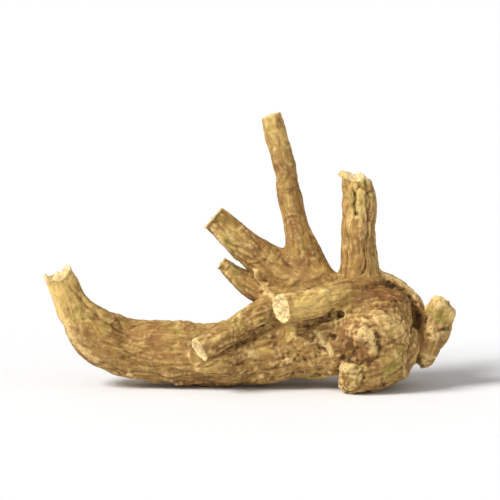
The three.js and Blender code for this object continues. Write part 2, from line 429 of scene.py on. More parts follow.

# Stains and a few patches of painted shade, as (place, radius, hue, tone): hue 1 is olive and -1 is rust,
# tone 1 is pale and -1 is dark.
STAINS_AND_PAINTED_SHADE = (
    # Neck
    ((33.6, 12.6), 2.2, 1.5, -0.1),
    ((31.0, 9.5), 1.3, 0.0, 1.2),
    ((33.2, 8.3), 1.8, -1.0, -0.2),
    ((31.2, 4.5), 1.5, 0.8, -0.1),
    # Head and heel
    ((18.1, 2.5), 2.0, 1.0, 0.2),
    ((25.5, 2.9), 2.2, 1.1, -0.1),
    ((27.1, 7.9), 1.8, 0.9, -0.2),
    ((27.5, 11.9), 1.6, -0.7, 0.0),
    # The next three are painted shade: they darken the head's top under the rim, where the rim shades it
    ((22.8, 16.2), 3.4, -0.15, -1.7),
    ((25.5, 16.9), 2.6, -0.15, -1.1),
    ((27.8, 13.3), 2.4, -0.1, -0.5),
    ((20.4, 1.9), 3.2, 0.2, -0.6),
    ((25.0, 10.9), 3.2, 0.0, 0.6),
    ((16.8, 9.2), 3.2, -0.45, -0.3),
    ((18.1, 6.6), 2.2, -0.35, -0.6),
    ((20.8, 5.3), 1.8, -0.1, -0.7),
    # Front and low branches
    ((10.0, 14.9), 3.8, 0.1, 1.2),
    ((14.7, 15.9), 2.8, 0.1, 0.8),
    ((6.4, 13.9), 2.2, 0.0, 1.2),
    ((-2.7, 11.9), 3.0, 0.9, 0.0),
    ((0.7, 16.3), 2.4, -0.4, -0.5),
    ((4.0, 9.2), 3.0, 0.4, -0.3),
    # Left branch, small branch and the saddle between them
    ((-0.7, 20.7), 2.2, 0.7, 0.0),
    ((-4.0, 28.7), 2.4, 0.6, 0.2),
    ((-2.0, 26.0), 2.2, 0.7, 0.2),
    ((1.3, 23.3), 2.4, -0.5, 0.0),
    ((-1.4, 27.0), 1.6, -0.6, 0.2),
    ((-3.7, 20.3), 3.0, 1.0, -0.3),
    ((8.7, 20.0), 3.2, 0.0, -0.5),
    # Tall branch
    ((3.4, 45.5), 4.0, 0.3, 0.8),
    ((5.0, 36.1), 3.4, 0.3, -0.2),
    ((8.7, 24.6), 3.6, 0.0, -0.5),
    # Upright branch
    ((18.8, 26.7), 2.4, -0.7, 0.2),
    ((19.2, 31.0), 2.6, 0.2, 0.6),
    ((19.4, 34.7), 2.8, 1.0, 0.5),
    ((17.1, 28.0), 1.6, 0.0, 0.6),
    ((19.4, 22.6), 2.4, -0.2, -0.6),
    # Taproot, from its tail
    ((-33.8, 19.6), 3.6, 0.1, 2.1),
    ((-33.6, 12.6), 2.6, 0.0, 1.1),
    ((-29.4, 12.8), 3.4, 0.5, 0.2),
    ((-17.4, 8.5), 2.6, -0.7, -0.3),
    ((-23.4, 8.7), 3.6, 0.0, -0.6),
    ((-16.1, 3.9), 3.0, -0.4, 0.0),
    ((-10.7, 7.9), 3.0, 0.5, -0.2),
    # The back
    ((25.0, 7.6, 12.0), 3.4, 0.5, 0.5),
    ((19.2, 8.4, 9.4), 3.0, -0.6, -0.5),
    ((24.6, 7.8, 4.8), 2.8, -0.4, 0.2),
    ((27.6, 5.2, 16.2), 2.4, -0.4, -0.4),
    ((13.2, 6.4, 10.6), 3.2, 0.5, 0.3),
    ((9.4, 6.0, 18.8), 3.0, -0.5, -0.5),
    ((3.0, 5.2, 20.2), 2.8, 0.4, 0.5),
    ((8.0, 9.0, 6.0), 2.4, 0.0, 0.8),
    ((5.2, 13.0, 4.2), 2.4, 0.7, 0.2),
    ((1.6, 6.4, 7.0), 3.2, -0.2, -0.7),
    ((-5.6, 6.0, 7.0), 3.6, 0.5, 0.6),
    ((-14.6, 5.6, 5.4), 3.4, -0.6, -0.3),
    ((-24.6, 4.4, 8.4), 3.4, 0.2, 0.7),
    ((-31.6, 1.4, 14.4), 3.0, 0.4, 0.4),
    ((18.6, 6.4, 27.4), 2.8, 0.4, 0.6),
    ((19.8, 6.4, 21.4), 3.0, -0.5, -0.4),
    ((7.2, 7.0, 33.4), 3.2, -0.4, 0.3),
    ((9.6, 6.0, 24.8), 3.0, 0.3, -0.5),
    ((-2.4, 4.4, 26.2), 2.8, -0.5, 0.3),
    ((33.8, 2.4, 11.6), 2.0, 0.6, 0.4),
    ((31.6, 2.0, 6.0), 1.8, -0.5, -0.2),
)

# How the tubes are drawn and how points find their place beside them
LINE_STEP = 0.45  # distance between two samples of a middle line
TUBE_SIDES = 40
SPAN_STEPS = 24  # steps of the spline between two points of a path, before it is evened out
TIP_SHARE = 0.04  # what is left of the radius at the very end of a rounded limb
STEEPEST = 6.0  # the steepest slope of a tube's side that counts
SIDE_HINT = (0.0, 1.0, 0.3)  # a limb's sideways axis starts out square to this
TINY = 1e-9  # stands in for a length of 0 that would be divided by
FAR_AWAY = 1e3  # the gap to the skin before any limb is joined
KNOB_SOFT = 0.6  # how far a knob's joint with its limb is rounded
KNOB_WORN = 0.6  # how pale a knob is rubbed
LEAST_SHARE = 0.002  # a limb with less of a vertex than this leaves it alone
OWNED_SHARE = 0.5  # a limb with more of a vertex than this owns it
SETTLE_ROUNDS = 4  # how often the vertices are evened out and drawn to the smooth joint
NOISE_SEED = 2  # fixes the noise that bends places, which would else differ with each run
SEED_SHIFT = np.array([17.13, 9.71, 23.37])  # keeps each noise clear of the others
SEEDS_PER_LIMB = 30
CUT_SEED = 20  # the first of a limb's seeds that its cut faces use
MARK_SEED = 400
STAIN_SEED = 500
SKIN_TURN = (0.28, 0.68)  # where along a limb its skin turns into its far skin, as shares of its length
SHELTER_REACH = 2.6  # how far out the skin looks for a neighbour that shades it
CREASE_CALM = 0.75  # the share of the wrinkles that is lost deep between two limbs, where their skins meet
CREASE_RANGE = (0.55, 0.95)  # the shelter at which wrinkles begin to be lost, and where the most is lost
# Undersides are darkened in the skin's colour as painted shade
UNDERSIDE = (0.1, -0.9)  # how far up the skin faces where it begins to be an underside, and where it is one
FINE_ROUNDS = 3  # how often the skin is evened out to tell its creases from the skin beside them
BROAD_ROUNDS = 22  # and its hollows
MARK_UNEVEN = 0.9  # how far the edge of a mark wanders, as a share of its width
MARK_GRAIN = 0.9  # the size of that wandering
STAIN_STRAY_SIZE = 2.2  # the size of the wandering of a stain's edge
STAIN_STRAY = 1.6  # and how far it wanders

# Cut faces. A place on one is counted inwards from its rim, as a share of its radius.
CUT_EDGE = 0.35  # how far below the face its own colour begins, in millimetres
CUT_DEPTH = 1.0  # how far below the face the limb still knows its place on it, in millimetres
LEAST_RADIUS = 0.1  # the smallest radius that such a share is taken of, in millimetres
RAY_TURNS = 1.6  # the larger, the more cracks run out from the middle
RAY_SIZE = 0.45
FINE_RAY_SIZE = 0.2
FINE_RAYS = 0.5  # how strong the finer cracks are beside the others
RAGGED_SIZE = 1.1  # millimetres
FINE_RAGGED_SIZE = 0.55
FINE_RAGGED = 0.6
LIP_HEIGHT = 0.12  # this and the depths below are in millimetres
LIP_RANGE = (0.2, 0.0)
DISH_DEPTH = 0.3
DISH_RANGE = (0.1, 0.7)
CRACK_DEPTH = 0.25
CRACK_RANGE = (0.12, 0.3)  # the heights of the noise at which a crack begins, and where it is deepest
CRACK_START = (0.0, 0.3)
CAMBIUM_PLACE = 0.36  # where the dark ring lies
CAMBIUM_WIDTH = 0.08
CAMBIUM_DEPTH = 0.16


def spline(path):
    """A Catmull-Rom curve through the points of a path."""
    points = np.array(path)
    points = np.vstack([2 * points[0] - points[1], points, 2 * points[-1] - points[-2]])
    t = np.linspace(0, 1, SPAN_STEPS, endpoint=False)[:, None]
    spans = []
    for a, b, c, d in zip(points, points[1:], points[2:], points[3:]):
        bend = (2 * a - 5 * b + 4 * c - d) + t * (3 * (b - c) + d - a)
        spans.append(b + 0.5 * t * ((c - a) + t * bend))
    return np.vstack([*spans, points[-2:-1]])


def unit(vectors):
    """Vectors brought to length 1."""
    return vectors / np.maximum(np.linalg.norm(vectors, axis=-1, keepdims=True), TINY)


def smooth_step(low, high, values):
    """0 below low, 1 above high, and a soft rise between them."""
    t = np.clip((values - low) / (high - low), 0, 1)
    return t * t * (3 - 2 * t)


class Line:
    """A limb's middle line at even steps, with the limb's radius and its own axes at each step."""

    def __init__(self, limb):
        self.limb = limb
        curve = spline(limb.path)
        run = np.concatenate([[0], np.linalg.norm(np.diff(curve[:, :3], axis=0), axis=1).cumsum()])
        self.length = run[-1]
        self.step = self.length / max(6, round(self.length / LINE_STEP))
        self.along = np.arange(0, self.length + self.step / 2, self.step)
        even = np.column_stack([np.interp(self.along, run, column) for column in curve.T])
        self.centre = even[:, :3]
        self.radius = even[:, 3] * self.end_share(even[-1, 3], even[0, 3])
        self.steepness = np.clip(np.gradient(self.radius, self.step), -STEEPEST, STEEPEST)
        self.ahead = unit(np.gradient(self.centre, axis=0))
        self.side = self.carried_side()
        self.up = np.cross(self.ahead, self.side)

    def end_share(self, end_radius, start_radius):
        """The share of the radius that a rounded end leaves at each step."""
        share = np.ones(len(self.along))
        if self.limb.end == "round":
            share *= self.rounding(self.length - self.along, end_radius)
        if self.limb.start == "round":
            share *= self.rounding(self.along, start_radius)
        return share

    def rounding(self, left, radius):
        """The share of the radius that is left at a distance from a rounded end."""
        blunt = self.limb.blunt
        inside = np.clip(1 - left / radius, 0, 1)
        return np.maximum(TIP_SHARE, (1 - inside**blunt) ** (1 / blunt))

    def carried_side(self):
        """A sideways axis that is carried along the line without twisting."""
        side = np.cross(self.ahead[0], SIDE_HINT)
        sides = []
        for ahead in self.ahead:
            side = unit(side - ahead * side.dot(ahead))
            sides.append(side)
        return np.array(sides)

    def tube(self):
        """The limb as a closed tube: its corners, and its faces."""
        angle = np.linspace(0, 2 * math.pi, TUBE_SIDES, endpoint=False)[None, :, None]
        out = self.side[:, None] * np.cos(angle) + self.up[:, None] * np.sin(angle)
        rings = self.centre[:, None] + out * self.radius[:, None, None]
        lean = np.array([*self.limb.lean, 0.0])
        if self.limb.start == "cut":
            rings[0] -= self.ahead[0] * ((rings[0] - self.centre[0]) @ lean)[:, None]
        if self.limb.end == "cut":
            rings[-1] += self.ahead[-1] * ((rings[-1] - self.centre[-1]) @ lean)[:, None]
        count = len(rings)
        corners = np.vstack([rings.reshape(-1, 3), self.centre[:1], self.centre[-1:]])
        faces = []
        for j in range(TUBE_SIDES):
            k = (j + 1) % TUBE_SIDES
            last = (count - 1) * TUBE_SIDES
            faces.append((count * TUBE_SIDES, k, j))
            faces.append((count * TUBE_SIDES + 1, last + j, last + k))
            for i in range(0, last, TUBE_SIDES):
                faces.append((i + j, i + k, i + TUBE_SIDES + k, i + TUBE_SIDES + j))
        return corners, faces

    def places(self, points):
        """Where points lie beside the limb."""
        near = (np.sum(self.centre**2, axis=1) - 2 * points @ self.centre.T).argmin(axis=1)
        offset = points - self.centre[near]
        ahead = self.ahead[near]
        further = np.sum(offset * ahead, axis=1)
        across = offset - ahead * further[:, None]
        along = np.clip(self.along[near] + further, 0, self.length)
        return Place(self, near, offset, ahead, further, across, along)


class Place:
    """Where a set of points lies beside one limb: how far along it, and how far out of its surface."""

    def __init__(self, line, near, offset, ahead, further, across, along):
        self.line = line
        self.along = along
        self.across = across
        self.reach = np.linalg.norm(across, axis=1)
        self.radius = np.interp(along, line.along, line.radius)
        steepness = np.interp(along, line.along, line.steepness)
        stretch = np.sqrt(1 + steepness**2)
        self.gap = (self.reach - self.radius) / stretch
        self.way = (unit(across) - ahead * steepness[:, None]) / stretch[:, None]
        last = len(line.along) - 1
        lean = across @ np.array([*line.limb.lean, 0.0])
        self.cut_gap = np.full(len(along), -np.inf)
        self.close(line.limb.end, near == last, further, lean, offset, ahead)
        self.close(line.limb.start, near == 0, -further, lean, offset, -ahead)
        soft = line.limb.soft
        far_soft = soft if line.limb.far_soft is None else line.limb.far_soft
        self.soft = soft + (far_soft - soft) * along / line.length
        own = (across * line.side[near]).sum(axis=1), (across * line.up[near]).sum(axis=1)
        self.own = np.column_stack([*own, along])

    def close(self, kind, near_end, over, lean, offset, outward):
        """Closes the field at one end: by a flat face where it is cut or flat, and else by a ball."""
        if kind in ("cut", "flat"):
            over = np.where(near_end, over - lean, -np.inf)
            if kind == "cut":
                self.cut_gap = np.maximum(self.cut_gap, over)
            on_face = over > self.gap
            self.gap = np.where(on_face, over, self.gap)
            self.way = np.where(on_face[:, None], outward, self.way)
        else:
            beyond = near_end & (over > 0)
            self.gap = np.where(beyond, np.linalg.norm(offset, axis=1) - self.radius, self.gap)
            self.way = np.where(beyond[:, None], unit(offset), self.way)


def join(gap, way, new_gap, new_way, soft):
    """Adds a limb to the smooth union. Also gives the share that the new limb has at each point."""
    overlap = np.clip(soft - np.abs(gap - new_gap), 0, None) / soft
    share = np.where(new_gap < gap, 1 - overlap / 2, overlap / 2)
    joined = np.minimum(gap, new_gap) - overlap**2 * soft / 4
    return joined, way + (new_way - way) * share[:, None], share


def knob_field(knob, points):
    """The gap between points and a knob's surface, and the way out of it."""
    offset = points - np.array(knob[:3])
    return np.linalg.norm(offset, axis=1) - knob[3], unit(offset)


def form_field(lines, points):
    """The gap between points and the smoothly joined limbs, and the way out of them."""
    gap = np.full(len(points), FAR_AWAY)
    way = np.zeros_like(points)
    for line in lines:
        place = line.places(points)
        gap, way, _ = join(gap, way, place.gap, place.way, place.soft)
    for knob in KNOBS:
        knob_gap, knob_way = knob_field(knob, points)
        gap, way, _ = join(gap, way, knob_gap, knob_way, KNOB_SOFT)
    return gap, way


# Relief of the skin


def swells(places, size, seed):
    """Smooth random heights, about -0.7 to 0.7, with swells of a size that may differ along each axis."""
    spots = places / np.asarray(size) + seed * SEED_SHIFT
    return np.array([noise.noise(spot) for spot in spots.tolist()])


def strayed(places, size, reach, seed):
    """Places moved about at random, by up to a reach along each axis: what is drawn there wanders."""
    spots = places / size + seed * SEED_SHIFT
    return places + np.array([noise.noise_vector(spot) for spot in spots.tolist()]) * np.asarray(reach)


@dataclass(frozen=True)
class Creases:
    """Lines that wander over the skin: the size of their windings, in millimetres, and their width."""

    size: object  # one number, or three: two across the limb and one along it
    width: float  # as a share of the height of the noise that draws them

    def draw(self, places, seed):
        """1 on the lines, and less away from them."""
        return np.exp(-np.abs(swells(places, self.size, seed)) / self.width)


@dataclass(frozen=True)
class Spots:
    """Spots strewn over the skin: their spacing and their reach, in millimetres, and how many show."""

    spacing: float
    reach: float
    chance: float  # the share of them that shows
    least: float = 0.6  # the smallest spot's reach, as a share
    spread: float = 0.8  # and how much further the largest one reaches

    def draw(self, places, seed):
        """1 in the middle of each spot, and 0 beyond its reach."""
        spots = places / self.spacing + seed * SEED_SHIFT
        found = [noise.voronoi(spot) for spot in spots.tolist()]
        distance = np.array([distances[0] for distances, _ in found]) * self.spacing
        owner = np.array([owners[0] for _, owners in found])
        luck = np.modf(np.abs(np.sin(owner @ LUCK_MIX) * LUCK_STRETCH))[0]
        reach = self.reach * (self.least + self.spread * luck / self.chance)
        return smooth_step(0, 1, 1 - distance / reach) * (luck < self.chance)


# Uneven numbers that turn a spot's place into its luck, from 0 to 1. Others would strew the spots otherwise.
LUCK_MIX = np.array([12.9898, 78.233, 37.719])
LUCK_STRETCH = 43758.5453

BUMP_EDGES = Creases(2.6, 0.22)
SMALL_BUMP_EDGES = Creases(1.2, 0.25)
FURROWS = Creases((2.2, 2.2, 10.0), 0.17)
THIN_FURROWS = Creases((1.2, 1.2, 6.0), 0.22)
RINGS = Creases((4.0, 4.0, 1.3), 0.17)
WARTS = Spots(3.1, 1.1, 0.5)
SCARS = Spots(3.6, 1.2, 0.5)
PITS = Spots(2.8, 0.9, 0.45)

LUMP_SIZE = (5.0, 5.0, 6.5)
SMALL_LUMP_SIZE = 2.6
SMALL_LUMPS = 0.45  # how strong the small lumps are beside the large ones
BUMP_EDGE = 1.2  # how deep the edges of the bumps are cut
SMALL_BUMP_EDGE = 0.6
BUMPY_SIZE = 6.0  # the size of the stretches that are bumpier than others
BUMPY_RANGE = (-0.25, 0.3)
LEAST_BUMPY = 0.35
RINGED_SIZE = (4.5, 4.5, 5.0)  # the size of the stretches that have rings
RINGED_RANGE = (-0.05, 0.3)
WANDER_SIZE = 3.6  # the size of the windings of furrows, rings and scars
WANDER_REACH = (1.3, 1.3, 2.2)  # and how far they wander
TORN_SIZE = 0.9  # the same for the edges of bumps, warts and pits
TORN_REACH = 0.7
SCAR_STRETCH = (1.0, 1.0, 2.2)  # scars are this much shorter along the limb
THIN_SHARE = 0.45  # how deep thin furrows are beside the others
SCAR_SHARE = 0.5  # how high scars are beside warts

# How much dirt each kind of relief holds, and how pale it is rubbed
HELD_DIRT = {"furrows": 0.5, "rings": 0.5, "bumps": 0.5, "pits": 0.8}
THIN_DIRT = 0.4  # how much thin furrows hold beside the others
RUBBED = {"warts": 0.7, "scars": 0.5, "bumps": 0.25}
LOW_BUMP = 0.2  # bumps lower than this hold dirt
HIGH_BUMP = (0.6, 0.9)  # bumps are rubbed from the first height, and most at the second


@dataclass
class Relief:
    """The skin's height over its plain surface, in millimetres, and how dirty and how worn it is there."""

    height: np.ndarray
    dirt: np.ndarray
    worn: np.ndarray

    def blend(self, other, where, share):
        """Turns into another relief by a share, at some of the vertices."""
        for name in ("height", "dirt", "worn"):
            mine = getattr(self, name)
            mine[where] += (getattr(other, name) - mine[where]) * share


def wrinkles(own, near, far, share, form, seed):
    """The relief at places in a limb's own space, whose skin turns from near to far by a share."""

    def strength(kind):
        return getattr(near, kind) + (getattr(far, kind) - getattr(near, kind)) * share

    path = strayed(own, WANDER_SIZE, WANDER_REACH, seed)
    torn = strayed(own, TORN_SIZE, TORN_REACH, seed + 1)
    lumps = swells(own, LUMP_SIZE, seed + 2) + SMALL_LUMPS * swells(own, SMALL_LUMP_SIZE, seed + 3)
    bump_edges = BUMP_EDGE * BUMP_EDGES.draw(torn, seed + 4)
    small_edges = SMALL_BUMP_EDGE * SMALL_BUMP_EDGES.draw(torn, seed + 5)
    furrows = FURROWS.draw(path, seed + 6)
    thin_furrows = THIN_FURROWS.draw(path, seed + 7)
    ringed = smooth_step(*RINGED_RANGE, swells(own, RINGED_SIZE, seed + 8))
    rings = RINGS.draw(path, seed + 9) * ringed
    warts = WARTS.draw(torn, seed + 10)
    scars = SCARS.draw(path * SCAR_STRETCH, seed + 11)
    pits = PITS.draw(torn, seed + 12)
    bumpy = smooth_step(*BUMPY_RANGE, swells(own, BUMPY_SIZE, seed + 13))
    bumps = (1 - bump_edges - small_edges) * (LEAST_BUMPY + bumpy)

    height = (
        form.lump_height * strength("lumps") * lumps
        + form.bump_height * strength("bumps") * bumps
        - form.furrow_depth * strength("furrows") * (furrows + THIN_SHARE * thin_furrows)
        - form.ring_depth * strength("rings") * rings
        + form.wart_height * strength("warts") * (warts + SCAR_SHARE * scars)
        - form.pit_depth * strength("pits") * pits
    )
    holding = {
        "furrows": furrows**2 + THIN_DIRT * thin_furrows**2,
        "rings": rings**2,
        "bumps": np.clip(LOW_BUMP - bumps, 0, 1),
        "pits": pits,
    }
    dirt = sum(HELD_DIRT[kind] * strength(kind) * amount for kind, amount in holding.items())
    worn = (
        strength("warts") * (RUBBED["warts"] * warts + RUBBED["scars"] * scars)
        + RUBBED["bumps"] * strength("bumps") * smooth_step(*HIGH_BUMP, bumps)
    )
    return Relief(height, dirt, worn)


def grow_form(form):
    """The limbs' middle lines, and one mesh of small even faces round all limbs and knobs."""
    lines = [Line(limb) for limb in LIMBS]
    tubes = [line.tube() for line in lines]
    work = bmesh.new()
    for corners, faces in tubes:
        made = [work.verts.new(corner) for corner in corners]
        for face in faces:
            work.faces.new([made[i] for i in face])
    for x, y, z, radius in KNOBS:
        place = Matrix.Translation((x, y, z))
        bmesh.ops.create_icosphere(work, subdivisions=3, radius=radius, matrix=place)
    mesh = bpy.data.meshes.new("limbs")
    work.to_mesh(mesh)
    work.free()
    limbs = bpy.data.objects.new("limbs", mesh)
    bpy.context.scene.collection.objects.link(limbs)
    remesh = limbs.modifiers.new("one skin", "REMESH")
    remesh.mode = "VOXEL"
    remesh.voxel_size = form.voxel_size / MM
    remesh.adaptivity = 0
    skin = bpy.data.meshes.new_from_object(limbs.evaluated_get(bpy.context.evaluated_depsgraph_get()))
    bpy.data.objects.remove(limbs)
    bpy.data.meshes.remove(mesh)
    return lines, skin


def vertex_places(mesh):
    """A mesh's vertices as an array."""
    places = np.empty(len(mesh.vertices) * 3)
    mesh.vertices.foreach_get("co", places)
    return places.reshape(-1, 3)


def neighbour_mean(values, edges):
    """The mean of each vertex's neighbours."""
    ends = edges.ravel()
    others = edges[:, ::-1].ravel()
    count = np.bincount(ends, minlength=len(values))
    sums = [np.bincount(ends, weights=column[others], minlength=len(values)) for column in values.T]
    return np.column_stack(sums) / count[:, None]


def mesh_edges(mesh):
    """A mesh's edges as pairs of vertices."""
    edges = np.empty(len(mesh.edges) * 2, dtype=np.int64)
    mesh.edges.foreach_get("vertices", edges)
    return edges.reshape(-1, 2)


def hollowness(points, ways, edges, rounds):
    """How far each vertex lies under the evened-out skin: above 0 in a pit, and below 0 on a ridge."""
    even = points
    for _ in range(rounds):
        even = neighbour_mean(even, edges)
    return np.sum((even - points) * ways, axis=1)


@dataclass
class CutFaces:
    """Which vertices lie on a cut face, and where on it."""

    share: np.ndarray  # 1 on a face and 0 off it
    core: np.ndarray  # 0 at the face's rim and 1 in its middle
    ray: np.ndarray  # above 0 along the cracks
    push: np.ndarray  # how far and which way the vertex is moved

    def add(self, place, mine, share, seed):
        """Adds the cut faces of one limb."""
        face = smooth_step(-CUT_EDGE, 0.0, place.cut_gap) * mine
        self.share = np.where(mine, face, self.share * (1 - share))
        here = mine & (place.cut_gap > -CUT_DEPTH)
        if not here.any():
            return
        core = 1 - place.reach[here] / np.maximum(place.radius[here], LEAST_RADIUS)
        out = unit(place.across[here]) * RAY_TURNS
        own = place.own[here]
        ray = swells(out, RAY_SIZE, seed) + FINE_RAYS * swells(out, FINE_RAY_SIZE, seed + 1)
        ragged = swells(own, RAGGED_SIZE, seed + 2) + FINE_RAGGED * swells(own, FINE_RAGGED_SIZE, seed + 3)
        lip = LIP_HEIGHT * smooth_step(*LIP_RANGE, core)
        dish = DISH_DEPTH * smooth_step(*DISH_RANGE, core)
        crack = CRACK_DEPTH * smooth_step(*CRACK_RANGE, ray) * smooth_step(*CRACK_START, core)
        ring = CAMBIUM_DEPTH * np.exp(-(((core - CAMBIUM_PLACE) / CAMBIUM_WIDTH) ** 2))
        rise = place.line.limb.ragged * ragged + lip - dish - crack - ring
        self.core[here] = core
        self.ray[here] = ray
        self.push[here] += place.way[here] * (face[here] * rise)[:, None]


def skin_relief(lines, points, form):
    """The way out of the skin, its relief, each vertex's place in its own limb, and the cut faces."""
    count = len(points)
    gap = np.full(count, FAR_AWAY)
    way = np.zeros_like(points)
    relief = Relief(np.zeros(count), np.zeros(count), np.zeros(count))
    cuts = CutFaces(np.zeros(count), np.zeros(count), np.zeros(count), np.zeros_like(points))
    own = np.zeros_like(points)
    for number, line in enumerate(lines):
        limb = line.limb
        seed = SEEDS_PER_LIMB * number
        place = line.places(points)
        gap, way, share = join(gap, way, place.gap, place.way, place.soft)
        here = share > LEAST_SHARE
        far = limb.far_skin or limb.skin
        turn = smooth_step(*SKIN_TURN, place.along[here] / line.length)
        relief.blend(wrinkles(place.own[here], limb.skin, far, turn, form, seed), here, share[here])
        mine = share > OWNED_SHARE
        own[mine] = place.own[mine]
        cuts.add(place, mine, share, seed + CUT_SEED)
    for knob in KNOBS:
        knob_gap, knob_way = knob_field(knob, points)
        gap, way, share = join(gap, way, knob_gap, knob_way, KNOB_SOFT)
        relief.worn = np.maximum(relief.worn, KNOB_WORN * share)
    return unit(way), relief, own, cuts


def distance_to_path(points, path):
    """The distance from points to the nearest stretch of a path."""
    nearest = np.linalg.norm(points - path[0], axis=1)
    for start, end in zip(path, path[1:]):
        run = end - start
        t = np.clip((points - start) @ run / max(run @ run, TINY), 0, 1)
        nearest = np.minimum(nearest, np.linalg.norm(points - start - t[:, None] * run, axis=1))
    return nearest


class FrontView:
    """The skin as seen from the front: where each vertex lies across and up, and how far back."""

    def __init__(self, points):
        sine, cosine = math.sin(LOOK_DOWN), math.cos(LOOK_DOWN)
        self.points = points
        self.seen = np.column_stack([points[:, 0], points[:, 1] * sine + points[:, 2] * cosine])
        self.back = points[:, 1] * cosine - points[:, 2] * sine

    def find(self, spot):
        """The vertex nearest to (x, y, z), or the one that is seen at (across, up)."""
        if len(spot) == 3:
            return self.points[np.sum((self.points - spot) ** 2, axis=1).argmin()]
        aside = np.linalg.norm(self.seen - spot, axis=1)
        in_sight = aside <= max(SIGHT_WIDTH, aside.min())
        in_front = in_sight & (self.back < self.back[in_sight].min() + 2 * SIGHT_WIDTH)
        return self.points[np.where(in_front, aside, np.inf).argmin()]


def add_marks(points, view, relief):
    """Adds the single marks, each on the skin at its places, with uneven edges."""
    raised = np.zeros(len(points))
    sunk = np.zeros(len(points))
    for number, mark in enumerate(MARKS):
        path = np.array([view.find(spot) for spot in mark.path])
        distance = distance_to_path(points, path)
        here = distance < 2 * mark.width
        uneven = 1 + MARK_UNEVEN * swells(points[here], MARK_GRAIN, MARK_SEED + number)
        share = smooth_step(0, 1, 1 - distance[here] * uneven / mark.width)
        raised[here] = np.maximum(raised[here], mark.height * share)
        sunk[here] = np.minimum(sunk[here], mark.height * share)
        relief.worn[here] = np.maximum(relief.worn[here] * (1 - mark.dirt * share), mark.worn * share)
        relief.dirt[here] = np.maximum(relief.dirt[here] * (1 - mark.worn * share), mark.dirt * share)
    relief.height += raised + sunk


def stain_values(points, view):
    """The hue and the tone of the stains at points."""
    hue = np.zeros(len(points))
    tone = np.zeros(len(points))
    strayed_points = strayed(points, STAIN_STRAY_SIZE, STAIN_STRAY, STAIN_SEED)
    # A few of these are patches of painted shade under the head's rim
    for spot, radius, stain_hue, stain_tone in STAINS_AND_PAINTED_SHADE:
        share = np.exp(-np.sum((strayed_points - view.find(spot)) ** 2, axis=1) / radius**2)
        hue += stain_hue * share
        tone += stain_tone * share
    return hue, tone


def tear(points):
    """How far the torn ends pull each vertex."""
    pulled = np.zeros_like(points)
    for start, end, width, pull in TEARS:
        distance = distance_to_path(points, np.array([start, end]))
        pulled += smooth_step(0, 1, 1 - distance / width)[:, None] * np.array(pull)
    return pulled


def write_attribute(mesh, name, values):
    """Stores a value or a vector for each vertex."""
    kind, key = ("FLOAT", "value") if values.ndim == 1 else ("FLOAT_VECTOR", "vector")
    attribute = mesh.attributes.new(name, kind, "POINT")
    attribute.data.foreach_set(key, np.ascontiguousarray(values, dtype=np.float32).ravel())


def grow_root(form):
    """The root's fine mesh, in metres, in its place."""
    noise.seed_set(NOISE_SEED)
    lines, mesh = grow_form(form)
    points = vertex_places(mesh)
    edges = mesh_edges(mesh)
    for _ in range(SETTLE_ROUNDS):
        points = (points + neighbour_mean(points, edges)) / 2
        gap, way = form_field(lines, points)
        points = points - unit(way) * gap[:, None]
    way, relief, own, cuts = skin_relief(lines, points, form)
    # How closely other limbs hem in each vertex: it calms the wrinkles there, and the skin's colour is
    # darkened with it as painted shade
    shelter_gap, _ = form_field(lines, points + way * SHELTER_REACH)
    shelter = np.clip(1 - shelter_gap / SHELTER_REACH, 0, 1)
    relief.height *= 1 - CREASE_CALM * smooth_step(*CREASE_RANGE, shelter)
    view = FrontView(points)
    add_marks(points, view, relief)
    hue, tone = stain_values(points, view)
    points = points + way * (relief.height * (1 - cuts.share))[:, None] + cuts.push + tear(points)
    points[:, 2] = np.maximum(points[:, 2], 0)

    # How far each vertex lies in a crease or a hollow: ridges are paled as wear, and creases and hollows are
    # darkened in the skin's colour as painted shade
    fine = hollowness(points, way, edges, FINE_ROUNDS)
    broad = hollowness(points, way, edges, BROAD_ROUNDS)
    low, high = points.min(axis=0), points.max(axis=0)
    node_low, node_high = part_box(ROOT_NODE)
    middle = (np.array(node_low) + np.array(node_high)) / 2
    shift = middle - (low + high) / 2 * MM
    shift[2] = node_low[2] - low[2] * MM
    mesh.vertices.foreach_set("co", (points * MM + shift).ravel())
    skin = 1 - cuts.share
    values = {
        "dirt": relief.dirt * skin,
        "worn": relief.worn * skin,
        "fine_hollow": fine,
        "broad_hollow": broad,
        "shelter": shelter,
        # Undersides, where the skin's colour is darkened as painted shade
        "under": smooth_step(*UNDERSIDE, way[:, 2]),
        "hue": hue,
        "tone": tone,
        "cut": cuts.share,
        "core": cuts.core,
        "ray": cuts.ray,
        "grain": own,
    }
    for name, column in values.items():
        write_attribute(mesh, name, column)
    mesh.polygons.foreach_set("use_smooth", np.ones(len(mesh.polygons), dtype=bool))
    mesh.update()
    return mesh


# Materials


class Wire:
    """A node's output that takes part in sums: each operator adds one Math node."""

    def __init__(self, finish, socket):
        self.finish = finish
        self.socket = socket

    def reckon(self, operation, first, second, clamp=False):
        """Adds the Math node that works out one operation."""
        settings = {"operation": operation, "use_clamp": clamp}
        return self.finish.add("ShaderNodeMath", settings, {0: first, 1: second})

    def __add__(self, other):
        return self.reckon("ADD", self, other)

    __radd__ = __add__

    def __sub__(self, other):
        return self.reckon("SUBTRACT", self, other)

    def __rsub__(self, other):
        return self.reckon("SUBTRACT", other, self)

    def __mul__(self, other):
        return self.reckon("MULTIPLY", self, other)

    __rmul__ = __mul__

    def held(self):
        """The value held between 0 and 1."""
        return self.reckon("ADD", self, 0.0, clamp=True)


